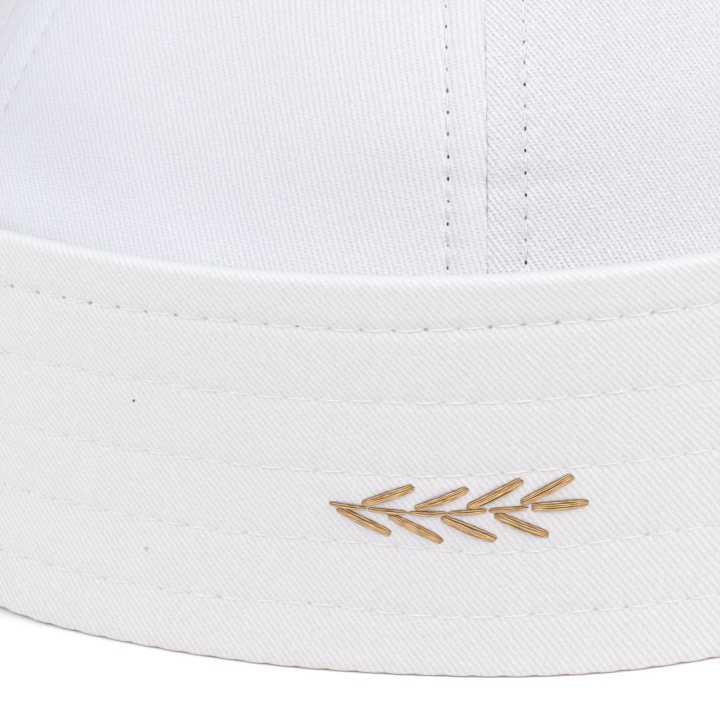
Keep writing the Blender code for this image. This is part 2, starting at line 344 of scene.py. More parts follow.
def tubes(name, paths, outward, radius, sides):
    """Threads: a ring of points round each point of each path, scaled by the radius there, with both ends closed.

    The rings stand on the path's own direction and on the outward direction of the cloth beneath.
    The map "thread" gives the distance along the thread, counted on from thread to thread, and the share of a turn
    round it. Its wear and shade is painted shade at its two ends, where it dips into a needle hole.
    """
    count, rings = paths.shape[:2]
    along = np.gradient(paths, axis=1)
    along /= np.linalg.norm(along, axis=-1, keepdims=True)
    across = np.cross(along, outward)
    across /= np.linalg.norm(across, axis=-1, keepdims=True)
    upward = np.cross(across, along)
    turns = FULL_TURN * np.arange(sides) / sides
    spokes = across[:, :, None] * np.cos(turns)[:, None] + upward[:, :, None] * np.sin(turns)[:, None]
    points = paths[:, :, None] + spokes * np.broadcast_to(radius, (count, rings))[:, :, None, None]
    quads, wide = grid_quads(rings, sides, 0, 1)

    run = np.pad(np.linalg.norm(np.diff(paths, axis=1), axis=-1).cumsum(axis=1), ((0, 0), (1, 0)))
    lengths = run[:, -1:]
    painted_shade = np.repeat(np.exp(-np.minimum(run, lengths - run) / THREAD_END), sides)
    run = (run + 3 * lengths * np.arange(count)[:, None])[:, :, None]
    maps = np.stack(np.broadcast_arrays(run, (np.arange(sides + 1) / sides)[None, None, :]), axis=-1)
    corner = maps.reshape(count, -1, 2)[:, wide]

    lid = np.array([(0, k, k + 1, k + 2) for k in range(1, sides - 1, 2)])
    lids = np.concatenate([lid, lid[:, ::-1] + (rings - 1) * sides])
    lid_maps = np.zeros((count, len(lids), 4, 2))
    lid_maps[:, :, :, 0] = run[:, :1]
    lid_maps[:, len(lid):, :, 0] = run[:, -1:]
    quads = np.concatenate([quads, lids])[None] + (np.arange(count) * rings * sides)[:, None, None]
    corner = np.concatenate([corner, lid_maps], 1)
    wear_and_shade = np.stack([0 * painted_shade, 0 * painted_shade, painted_shade], -1)
    return mesh_of(name, points.reshape(-1, 3), quads.reshape(-1, 4), {"thread": corner.reshape(-1, 4, 2)}, wear_and_shade)


def lockstitches(name, rows, radius, material):
    """Threads on both faces of the cloth: each row gives its paths and outward directions, face by face."""
    outer, outward, inner, inward = (np.concatenate(parts) for parts in zip(*rows))
    for piece, paths, ways in ((name, outer, outward), (name + "_inside", inner, inward)):
        sewn(piece, tubes(piece, paths, ways, THREAD_SWELL * radius, THREAD_SIDES), material, "stitching")


def laid_cloth(across, up, lay):
    """Place in the flat cloth, along its weft and its warp, of a place on a piece cut and sewn a little off the grain.

    With x across and y up the piece, the first is x + a y + b x y + c y^2 and the second is
    y + d x + e x^2 + f y^2 + g x^2 y, where a to g are the seven values of the lay.
    """
    lean, fan, curl, tilt, bow, crowding, squeeze = lay
    return (across + lean * up + fan * across * up + curl * up ** 2,
            up + tilt * across + bow * across ** 2 + crowding * up ** 2 + squeeze * across ** 2 * up)


# Cuff

def row_phase(row, azimuth):
    """Position along a row of the cuff, counted in stitches from one of its needle holes."""
    return CUFF_ROW_STITCHES[row] * (azimuth - math.radians(CUFF_ROW_FIRST_HOLE[row])) / FULL_TURN


def row_rise(row, azimuth):
    """How far a row strays from its level: a slow tilt, its dips at the front and a waver at the back."""
    stray, tilt = CUFF_ROW_STRAY[row]
    rise = stray * MM + tilt * MM * np.sin(azimuth - math.radians(CUFF_ROW_TILTS_ABOUT))
    for dipped, degrees, half_width, depth in CUFF_ROW_DIPS:
        if dipped == row:
            rise += depth * MM * hill(turn_from(azimuth, degrees), math.radians(half_width))
    draw = np.random.default_rng(40 + row)
    for lobes in CUFF_ROW_WAVER_LOBES:
        rise += CUFF_ROW_WAVER * (1 - np.cos(azimuth)) * np.sin(lobes * azimuth + draw.uniform(0, FULL_TURN))
    return rise


def row_weights(level):
    """Share of each row's stray at a level: one on the row, falling evenly to the next row, the foot and the fold."""
    stops = np.array((0.0,) + STITCH_ROW_HEIGHTS + (CUFF_HEIGHT - CUFF_THICKNESS / 2,))
    return np.stack([np.interp(level, stops, np.eye(len(stops))[k + 1]) for k in range(len(STITCH_ROW_HEIGHTS))])


def cuff_face(azimuth, level, inward=0.0, side=1.0):
    """A place on the cuff: a wall that leans out by its flare and follows its rows of stitches.

    Its radius is the foot's plus flare times level, less the inward distance, plus the relief and two gentle waves.
    The relief is a puff between the rows, less a groove at each row that beats with its stitches, less the ditch of
    the back seam, plus the bulge of the hem. Its height is the level plus the stray of the rows, times the slow wave
    of the fold, plus the lift of the hem. Side is 1 on the outer face, -1 on the inner one and 0 under the foot.
    """
    azimuth, level, inward, side = np.broadcast_arrays(azimuth, level, inward, side)
    weights = row_weights(level)
    rise = sum(weights[row] * row_rise(row, azimuth) for row in range(len(STITCH_ROW_HEIGHTS)))
    relief = np.full(azimuth.shape, CUFF_PUFF)
    for row, height in enumerate(STITCH_ROW_HEIGHTS):
        away = level - height
        beat = np.cos(FULL_TURN * row_phase(row, azimuth))
        relief -= CUFF_PUFF * hill(away, CUFF_PUFF_WIDTH)
        relief -= (CUFF_GROOVES[row] + CUFF_GROOVE_BEAT * beat) * hill(away, CUFF_GROOVE_WIDTH)
        relief -= CUFF_PINCH * beat * hill(away, CUFF_PINCH_WIDTH)
    relief = relief * (1 - hill(level, CUFF_EDGE_CALM)) * (1 - hill(level - CUFF_HEIGHT, CUFF_EDGE_CALM))
    from_back = turn_from(azimuth, 180.0) * CUFF_FOOT_RADIUS
    plump, plump_distance, plump_width = BACK_SEAM_PLUMP
    relief -= BACK_SEAM_DITCH * hill(from_back, BACK_SEAM_WIDTH)
    relief += plump * hill(np.abs(from_back) - plump_distance, plump_width)
    nip = (0.5 + 0.5 * np.cos(HEM_STITCHES * azimuth)) ** 4
    relief += (HEM_BULGE - HEM_NIP * nip) * (hill(level, HEM_HEIGHT) * (side > 0))
    radius = CUFF_FOOT_RADIUS + CUFF_FLARE * level - inward
    middle = stand(azimuth, radius, level)
    radius = radius + side * relief + (ripple(middle, CUFF_WAVE) + ripple(middle, CUFF_RIPPLE))
    lift = HEM_NICK * nip * np.exp(-level / HEM_NICK_HEIGHT)
    off_floor = turn_from(azimuth, HEM_LIFT_AT) / math.radians(HEM_LIFT_WIDTH)
    lift += HEM_LIFT * np.exp(-off_floor ** 2 - level / HEM_LIFT_FADE)
    fold_wave = 1 + CUFF_TOP_WAVE / CUFF_HEIGHT * np.sin(CUFF_TOP_LOBES * azimuth)
    return stand(azimuth, radius, (level + rise) * fold_wave + lift)


def squared(share):
    """A sine or cosine, swollen to make a round fold flatter on top and fuller at its corners."""
    return math.copysign(abs(share) ** FOLD_SQUARENESS, share)


def cuff_outline():
    """Closed outline of the cuff: inward distance, level, distance along the cloth, and side of each point.

    It runs up the outer face, over the fold and down the inner face, with points close together at each row.
    """
    fold = CUFF_THICKNESS / 2
    shoulder = CUFF_HEIGHT - fold
    foot = [(HEM_ROUND * (1 - math.cos(t)), HEM_ROUND * (1 + math.sin(t)), 1.0)
            for t in np.radians(np.linspace(-90, 0, 6))]
    levels, inner_levels = ([height + step * MM for height in STITCH_ROW_HEIGHTS for step in steps]
                            for steps in (ROW_STEPS, INNER_ROW_STEPS))
    for low, high in zip((HEM_ROUND,) + STITCH_ROW_HEIGHTS, STITCH_ROW_HEIGHTS + (shoulder,)):
        levels += list(np.linspace(low, high, 6)[1 if low == HEM_ROUND else 2:-1])
        inner_levels.append((low + high) / 2)
    outer = [(0.0, level, 1.0) for level in sorted(set(np.round(levels, 6)))]
    arc = [(fold * (1 - squared(math.cos(t))), shoulder + fold * squared(math.sin(t)), squared(math.cos(t)))
           for t in np.radians(np.linspace(0, 180, 15))]
    inner = [(CUFF_THICKNESS, level, -1.0) for level in sorted(set(np.round(inner_levels, 6)), reverse=True)]
    inner_foot = [(CUFF_THICKNESS, HEM_ROUND, -1.0),
                  (CUFF_THICKNESS - 0.2 * MM, 0.15 * MM, -1.0), (CUFF_THICKNESS - HEM_ROUND, 0.0, 0.0)]
    outline = np.array(foot + outer + arc + inner + inner_foot)
    ahead = np.roll(outline, -1, axis=0)
    run = np.hypot(ahead[:, 0] - outline[:, 0], ahead[:, 1] - outline[:, 1])
    return outline[:, 0], outline[:, 1], np.concatenate([[0.0], np.cumsum(run)]), outline[:, 2]


def cuff_cloth(material):
    """The cuff's outline carried round the cap, with maps of its weave and of its stitches."""
    inward, level, run, side = cuff_outline()
    beside = BACK_SEAM_COLUMNS / CUFF_FOOT_RADIUS
    azimuth = np.unique(np.round(np.concatenate([
        np.linspace(-math.pi, math.pi, CUFF_COLUMNS + 1), -math.pi + beside, math.pi - beside]), 7))
    points = cuff_face(azimuth[None, :-1], level[:, None], inward[:, None], side[:, None])
    quads, wide = grid_quads(len(level), len(azimuth) - 1, 1, 1)

    wide_run, wide_level = run[:, None], np.append(level, level[0])[:, None]
    reach, swing = CUFF_FOOT_RADIUS * azimuth, CUFF_FOOT_RADIUS * np.sin(azimuth)
    along, up = laid_cloth(swing, wide_run - CUFF_LAY_FROM, CUFF_LAY)
    cloth = np.stack([along + reach - swing, up + CUFF_LAY[3] * (reach - swing)], -1)
    heights = np.array(STITCH_ROW_HEIGHTS)
    nearest = np.abs(wide_level - heights).argmin(axis=1)
    counts, firsts = np.array(CUFF_ROW_STITCHES), np.radians(CUFF_ROW_FIRST_HOLE)
    phase = counts[nearest][:, None] * (azimuth - firsts[nearest][:, None]) / FULL_TURN
    away = np.broadcast_to(np.abs(wide_level - heights[nearest][:, None]), phase.shape)
    maps = {"cloth": cloth.reshape(-1, 2)[wide], "stitches": np.stack([phase, away], -1).reshape(-1, 2)[wide]}

    level, side, phase, nearest = level[:, None], side[:, None], phase[:-1, :-1], nearest[:-1]
    # The top of the fold: a painted highlight, lighter and without the weave, where light grazes it
    flat_and_lit = FOLD_FLAT_AND_LIT * np.clip((level - CUFF_HEIGHT + FOLD_BAND) / FOLD_BAND_EDGE, 0, 1)
    luck = np.random.default_rng(13).uniform(*CUFF_HOLE_LUCK, (len(heights), max(CUFF_ROW_STITCHES) + 2))
    stitch = np.round(phase).astype(int) % luck.shape[1]
    holes = np.array(CUFF_ROW_HOLES)[nearest][:, None] * luck[nearest[:, None], stitch]
    # Painted shade along the foot, less where the lifted hem throws its own shadow
    hem_shade_share = 1 - HEM_UNSHADED * hill(turn_from(azimuth[:-1], HEM_LIFT_AT), math.radians(HEM_UNSHADED_WIDTH))
    painted_shade = hill(level, HEM_SHADE_HEIGHT) * (side >= 0) * hem_shade_share
    wear_and_shade = np.stack(np.broadcast_arrays(flat_and_lit, holes, painted_shade), axis=-1).reshape(-1, 3)
    mesh = mesh_of("cuff_cloth", points.reshape(-1, 3), quads, maps, wear_and_shade)
    sewn("cuff_cloth", mesh, material, "cuff_twill", "cuff")


def cuff_outward(azimuth):
    """Outward direction of the cuff: level at no flare, tipped down by the flare."""
    return np.stack([np.sin(azimuth), -np.cos(azimuth), 0 * azimuth - CUFF_FLARE], -1)


def cuff_threads(material):
    """Lockstitches of the cuff: each an arched thread from one needle hole to the next, on both faces."""
    rows = []
    draw = np.random.default_rng(11)
    for row, height in enumerate(STITCH_ROW_HEIGHTS):
        count = CUFF_ROW_STITCHES[row]
        ease = draw.uniform(-1, 1, (3, count, 1))
        stitch = np.arange(count)[:, None] + CUFF_THREAD_PLACES + STITCH_UNEVENNESS * ease[0]
        azimuth = math.radians(CUFF_ROW_FIRST_HOLE[row]) + FULL_TURN * stitch / count
        level = height + CUFF_THREAD_SLANT + STITCH_STRAY * ease[1]
        back = azimuth[:, ::-1]
        rows.append((cuff_face(azimuth, level, -CUFF_THREAD_RISE - STITCH_SLACK * ease[2]), cuff_outward(azimuth),
                     cuff_face(back, level, CUFF_THICKNESS + CUFF_THREAD_RISE, -1.0), -cuff_outward(back)))
    lockstitches("cuff_stitches", rows, CUFF_THREAD_RADIUS, material)


# Crown

def crown_meridian():
    """Run, radius, height and lean along a seam: the height is H (1 - share of radius ^ fullness)."""
    foot = (1 - CROWN_FOOT_LIFT / CROWN_HEIGHT) ** (1 / CROWN_FULLNESS)
    share = np.linspace(foot, CROWN_TIP_RADIUS / CROWN_FOOT_RADIUS, MERIDIAN_SAMPLES)
    radius = CROWN_FOOT_RADIUS * share
    height = CROWN_HEIGHT * (1 - share ** CROWN_FULLNESS)
    run = np.concatenate([[0.0], np.cumsum(np.hypot(np.diff(radius), np.diff(height)))])
    lean = np.arctan2(-np.gradient(radius, run), np.gradient(height, run))
    return run, radius, height, lean


MERIDIAN = crown_meridian()


def along_meridian(run):
    """Radius, height and lean of the crown at a run."""
    return [np.interp(run, MERIDIAN[0], values) for values in MERIDIAN[1:]]


def gore_half_angle(radius):
    """Half the angle that a gore spans, less its half of the seam's opening."""
    return math.pi / GORES - SEAM_OPENING / 2 / radius


def gore_azimuth(gore, offset):
    """Azimuth of an offset; the seam between the last gore and the first is in front."""
    return FULL_TURN * (gore - 0.5) / GORES + offset


def topstitch_phase(offset, run):
    """Position along the nearer row of topstitches, counted in stitches from one of its needle holes."""
    return (run - np.where(offset < 0, *TOPSTITCH_STARTS)) / TOPSTITCH_PITCH


def topstitch_distance(offset, run):
    """How far from the seam the nearer row of topstitches runs: the one on the left edge drifts off as it climbs."""
    return TOPSTITCH_DISTANCE - TOPSTITCH_DRIFT * (offset < 0) * np.exp(-run / TOPSTITCH_DRIFT_REACH)


def crown_face(gore, offset, run, inset, depth=0.0):
    """A place on a gore: the meridian swung to an azimuth, flattened towards a hexagon, dented and sewn.

    The face stands out from the meridian, at a right angle to it, by the sewing less the dents plus gentle waves.
    The sewing is a quarter round down into the seam, a swelling of the turned-in edge and the groove of the
    topstitches, which beats with them. Depth is how far below the face the place lies.
    """
    offset, run, inset, depth = np.broadcast_arrays(offset, run, inset, depth)
    radius, height, lean = along_meridian(run)
    azimuth = gore_azimuth(gore, offset) + CROWN_TWIST * (run - CROWN_TWIST_FROM)
    full = np.minimum(1.0, run / RELIEF_FROM)
    inside = np.clip(depth / CLOTH_THICKNESS, 0, 1)
    beat = np.cos(FULL_TURN * topstitch_phase(offset, run))
    to_row = inset - topstitch_distance(offset, run)
    roll = 1 - np.minimum(inset / SEAM_ROLL, 1)
    plump, plump_distance, plump_width = SEAM_PLUMP
    sewing = -SEAM_ROLL * (1 - np.sqrt(1 - roll ** 2))
    sewing += plump * hill(inset - plump_distance, plump_width)
    sewing -= (TOPSTITCH_GROOVE + TOPSTITCH_BEAT * beat) * hill(to_row, TOPSTITCH_WIDTH)
    sewing -= TOPSTITCH_PINCH * beat * hill(to_row, TOPSTITCH_PINCH_WIDTH)
    out = full * sewing * (1 - inside) - depth
    for degrees, up, half_width, half_height, dent in DENTS:
        away = turn_from(azimuth, degrees) * radius / half_width
        out -= dent * np.exp(-away ** 2 - ((run - up) / half_height) ** 2)
    middle = stand(azimuth, radius, height)
    loose = np.minimum(1.0, run / CROWN_LOOSE_FROM)
    out += loose * (ripple(middle, CROWN_WAVE) + ripple(middle, CROWN_RIPPLE))
    waver = ripple(middle, CROWN_SWAY) + ripple(middle, SEAM_WAVER) * np.exp(-inset / SEAM_WAVER_REACH)
    azimuth += waver / np.maximum(radius, WAVER_RADIUS)
    hexagon = math.cos(math.pi / GORES) / np.cos(offset)
    flatness = GORE_FLATNESS * np.minimum(1.0, run / GORE_FLAT_FROM)
    spread = radius * (1 - flatness * (1 - hexagon)) + out * np.cos(lean)
    return stand(azimuth, spread, height + out * np.sin(lean))


def gore_columns(radius):
    """Offsets and insets of the columns of a gore, close together near the seams."""
    half = gore_half_angle(radius)[:, None]
    narrowing = np.minimum(1.0, radius / NARROW_RADIUS)[:, None]
    left = -half + GORE_EDGE_COLUMNS * narrowing / radius[:, None]
    middle = left[:, -1:] * (1 - 2 * np.arange(1, GORE_MIDDLE_COLUMNS) / GORE_MIDDLE_COLUMNS)
    offset = np.concatenate([left, middle, -left[:, ::-1]], 1)
    inset = (half - np.abs(offset)) * radius[:, None] / narrowing
    return offset, np.maximum(inset, 0)


def gore_wear_and_shade(gore, offset, run, inset, phase):
    """Wear and shade of a gore's face: a flatter, lighter weave at its edges, painted light, and at its top; holes that
    open in front, in depth and painted shade; painted shade in specks along the seam and darker towards the top.
    """
    luck = np.random.default_rng(60 + gore).uniform(*CROWN_HOLE_LUCK, (2, 64))
    holes = luck[(offset > 0).astype(int), np.round(phase).astype(int) % luck.shape[1]]
    from_front = turn_from(gore_azimuth(gore, offset), 0.0)
    front = CROWN_BACK_HOLES + (1 - CROWN_BACK_HOLES) * hill(from_front, math.radians(CROWN_FRONT))
    holes = holes * front * np.interp(run, *CROWN_HOLES_UP)
    # Painted shade: specks along the seam's crease, and the crown darker towards its top
    specks = np.random.default_rng(80 + gore).uniform(*SEAM_SHADE_LUCK, (GORE_ROWS, 1))
    painted_shade = np.maximum(specks, 0) * front * hill(inset, SEAM_SHADE_WIDTH)
    painted_shade = np.maximum(painted_shade, np.interp(run, *CROWN_TOP_SHADE))
    # The flatter, lighter weave at the gore's edges stands in for light falling along its ribs there
    left, right = GORE_LIGHT_WASH[gore - 1]
    flat_and_lit = left + (right - left) * (0.5 + offset * GORES / FULL_TURN) + np.interp(run, *TOP_WASHOUT)
    return np.stack(np.broadcast_arrays(np.maximum(flat_and_lit, 0), holes, painted_shade), axis=-1)


def gore_cloth(gore, material):
    """One sixth of the crown: outer and inner face as one closed band of columns, row by row from foot to tip.

    The inner face lies one ply below the outer, and two plies below where the edge is turned in beside the seam.
    """
    rows = MERIDIAN[0][-1] * np.linspace(0, 1, GORE_ROWS)
    radius, _, _ = along_meridian(rows)
    offset, inset = gore_columns(radius)
    run = np.broadcast_to(rows[:, None], offset.shape)
    depth = np.where(inset < TURNED_IN, SEAM_THICKNESS, CLOTH_THICKNESS)
    outer = crown_face(gore, offset, run, inset)
    inner = crown_face(gore, offset, run, inset, depth)
    band = np.concatenate([outer, inner[:, ::-1]], 1)
    columns = offset.shape[1]
    quads, wide = grid_quads(GORE_ROWS, 2 * columns, 0, 1)
    lid = np.array([(k, k + 1, 2 * columns - 2 - k, 2 * columns - 1 - k) for k in range(columns - 1)])
    quads = np.concatenate([quads, lid[:, ::-1], lid + (GORE_ROWS - 1) * 2 * columns])
    wide = np.concatenate([wide, lid[:, ::-1], lid + (GORE_ROWS - 1) * (2 * columns + 1)])

    across = offset * radius[:, None]
    along, up = laid_cloth(across, run - GORE_LAY_FROM, GORE_LAYS[gore - 1])
    cloth = np.stack([GORE_WARP_EASE[gore - 1] * (along - GORE_WARP_CROWDING * across ** 2), up], -1)
    phase = topstitch_phase(offset, run)
    stitches = np.stack([phase, inset - topstitch_distance(offset, run)], -1)
    maps = {key: np.concatenate([values, values[:, ::-1], values[:, :1]], 1).reshape(-1, 2)[wide]
            for key, values in (("cloth", cloth), ("stitches", stitches))}
    wear_and_shade = gore_wear_and_shade(gore, offset, run, inset, phase)
    wear_and_shade = np.concatenate([wear_and_shade, wear_and_shade[:, ::-1]], 1).reshape(-1, 3)
    name = f"gore_cloth_{gore}"
    mesh = mesh_of(name, band.reshape(-1, 3), quads, maps, wear_and_shade)
    mesh.set_sharp_from_angle(angle=GORE_CREASE_ANGLE)
    sewn(name, mesh, material, "crown_twill", f"crown_gore_{gore}")


def crown_threads(material):
    """Topstitches beside the crown's seams: arched threads from needle hole to needle hole, on both faces."""
    rows = []
    draw = np.random.default_rng(12)
    for gore in range(1, GORES + 1):
        for edge, start in zip((-1, 1), TOPSTITCH_STARTS):
            first, last = ((end - start) / TOPSTITCH_PITCH for end in TOPSTITCH_ENDS)
            stitch = np.arange(math.ceil(first), math.floor(last))[:, None]
            ease = draw.uniform(-1, 1, (2, len(stitch), 1))
            stitch = stitch + CROWN_THREAD_PLACES + STITCH_UNEVENNESS * ease[0]
            run = start + TOPSTITCH_PITCH * stitch
            radius, _, lean = along_meridian(run)
            narrowing = np.minimum(1.0, radius / NARROW_RADIUS)
            inset = topstitch_distance(edge, run) + STITCH_STRAY * ease[1]
            offset = edge * (gore_half_angle(radius) - inset * narrowing / radius)
            outer, inner = (crown_face(gore, offset, run, inset, depth)
                            for depth in (-CROWN_THREAD_RISE, SEAM_THICKNESS + CROWN_THREAD_RISE))
            azimuth = gore_azimuth(gore, offset)
            outward = np.stack([np.cos(lean) * np.sin(azimuth), -np.cos(lean) * np.cos(azimuth), np.sin(lean)], -1)
            rows.append((outer, outward, inner, -outward))
    lockstitches("crown_topstitches", rows, CROWN_THREAD_RADIUS, material)


# Sprig

def stem_line(x):
    """Height of the sprig's stem over its middle: one slow wave."""
    return STEM_WAVE * np.sin(FULL_TURN * x / STEM_WAVE_LENGTH)


def bundle(start, way, length, width, strands, draw):
    """Strands laid side by side from one point of the cuff towards another, fuller in the middle than at the ends.

    Gives places across and up the cuff and how high each point stands over the cloth.
    """
    share = 0.5 - 0.5 * np.cos(math.pi * np.linspace(0, 1, STRAND_POINTS))
    arch = np.sin(math.pi * share)
    place = np.linspace(-0.5, 0.5, strands)[:, None]
    fullness = BUNDLE_ENDS + (1 - BUNDLE_ENDS) * arch ** 0.7
    aside = width * place * fullness + STRAND_STRAY * draw.normal(size=(strands, 1)) * arch
    reach = draw.uniform(-STRAND_REACH, STRAND_REACH, (2, strands, 1)) * MM
    ahead = reach[0] + (length - reach[0] + reach[1]) * share
    height = -STRAND_SINK + STRAND_ARCH * arch ** 0.35 - BUNDLE_ROUND * place ** 2
    height += STRAND_LOOSE * draw.normal(size=(strands, 1)) * arch
    cosine, sine = math.cos(way), math.sin(way)
    return np.stack([start[0] + ahead * cosine - aside * sine, start[1] + ahead * sine + aside * cosine, height], -1)


def embroidered_sprig(material):
    """A stem of laid stitches with leaves to either side in turn, and a leaf at its end, each a bundle of strands."""
    draw = np.random.default_rng(31)
    left = -SPRIG_SPAN / 2
    stem_end = SPRIG_SPAN / 2 - LEAF_LENGTH
    bundles = []
    pitch = (stem_end - left) / STEM_STITCHES
    for step in range(STEM_STITCHES):
        x = left + pitch * step
        ends = stem_line(np.array((x, x + pitch)))
        way = math.atan2(ends[1] - ends[0], pitch)
        bundles.append(bundle((x, ends[0]), way, pitch - STEM_GAP, STEM_WIDTH, STEM_STRANDS, draw))
    for step in range(LEAVES):
        x = left + FIRST_LEAF + (stem_end - left - (FIRST_LEAF + LAST_LEAF)) * step / (LEAVES - 1)
        turn = 1 if step % 2 else -1
        way = turn * (LEAF_ANGLE + draw.uniform(-0.05, 0.05))
        root = (x, float(stem_line(x)) + turn * LEAF_FROM_STEM)
        bundles.append(bundle(root, way, LEAF_LENGTH + draw.uniform(-1, 1) * 0.2 * MM, LEAF_WIDTH, LEAF_STRANDS, draw))
    bundles.append(bundle((stem_end + 0.2 * MM, float(stem_line(stem_end))), -0.03, LEAF_LENGTH - 0.2 * MM,
                          LEAF_WIDTH, LEAF_STRANDS, draw))
    laid = np.concatenate(bundles)
    azimuth = SPRIG_AZIMUTH + laid[..., 0] / CUFF_FOOT_RADIUS
    paths = cuff_face(azimuth, SPRIG_LEVEL + laid[..., 1], -laid[..., 2])
    swell = np.ones(STRAND_POINTS)
    swell[[0, 1, -2, -1]] = 0.8, 0.9, 0.9, 0.8
    mesh = tubes("embroidered_sprig", paths, cuff_outward(azimuth), STRAND_RADIUS * swell, STRAND_SIDES)
    sewn("embroidered_sprig", mesh, material, "embroidery")


# Materials

def linear(colour):
    """An sRGB hex colour as linear values."""
    values = np.array([int(colour[k:k + 2], 16) / 255 for k in (1, 3, 5)])
    values = np.where(values <= 0.04045, values / 12.92, ((values + 0.055) / 1.055) ** 2.4)
    return (*values.tolist(), 1.0)


def add(tree, kind, inputs=None, **settings):
    """The first output in use of one node with its settings; an input is a value, or the socket that feeds it."""
    node = tree.nodes.new("ShaderNode" + kind)
    for key, value in settings.items():
        setattr(node, key, value)
    for key, value in (inputs or {}).items():
        if isinstance(value, bpy.types.NodeSocket):
            tree.links.new(value, node.inputs[key])
        else:
            node.inputs[key].default_value = value
    return next(socket for socket in node.outputs if socket.enabled)


def blank(name):
    """A new material, its tree and its shader."""
    material = bpy.data.materials.new(name)
    material.use_nodes = True
    return material, material.node_tree, material.node_tree.nodes["Principled BSDF"]


def wear_and_shade_of(tree):
    """The three shares of a place's wear, as mesh_of takes them."""
    wear_and_shade = add(tree, "Attribute", attribute_name="wear_and_shade").node.outputs["Vector"]
    return add(tree, "SeparateXYZ", {0: wear_and_shade}).node.outputs


# Cotton fibre is 0.02 mm thick, far finer than a pixel, so its fuzz is drawn in tufts of 0.28 mm
FIBRE_SIZE, FIBRE_STRENGTH = 0.28 * MM, 4.6
SLUB_SIZE, SLUB_STRENGTH = 0.8 * MM, 0.8  # thick places in the yarn
YARN_SWAYS = ((6 * MM, 0.30 * MM), (0.9 * MM, 0.14 * MM))  # how far the threads stray, over what size
FACE_MIDDLE = 0.4  # height in the weave that is halfway between the two shades
HOLE_RAGGEDNESS, HOLE_INNER, HOLE_OUTER = 1.6, 1.2, 1.9  # in lengths of the hole's half width
HOLE_DEPTH = 3.0  # in heights of a rib
# the flat share takes this much of the weave's relief away
FLAT_RELIEF_LOSS = 0.8
STAIN_INNER, STAIN_OUTER = 0.9, 1.5  # in sizes of the stain


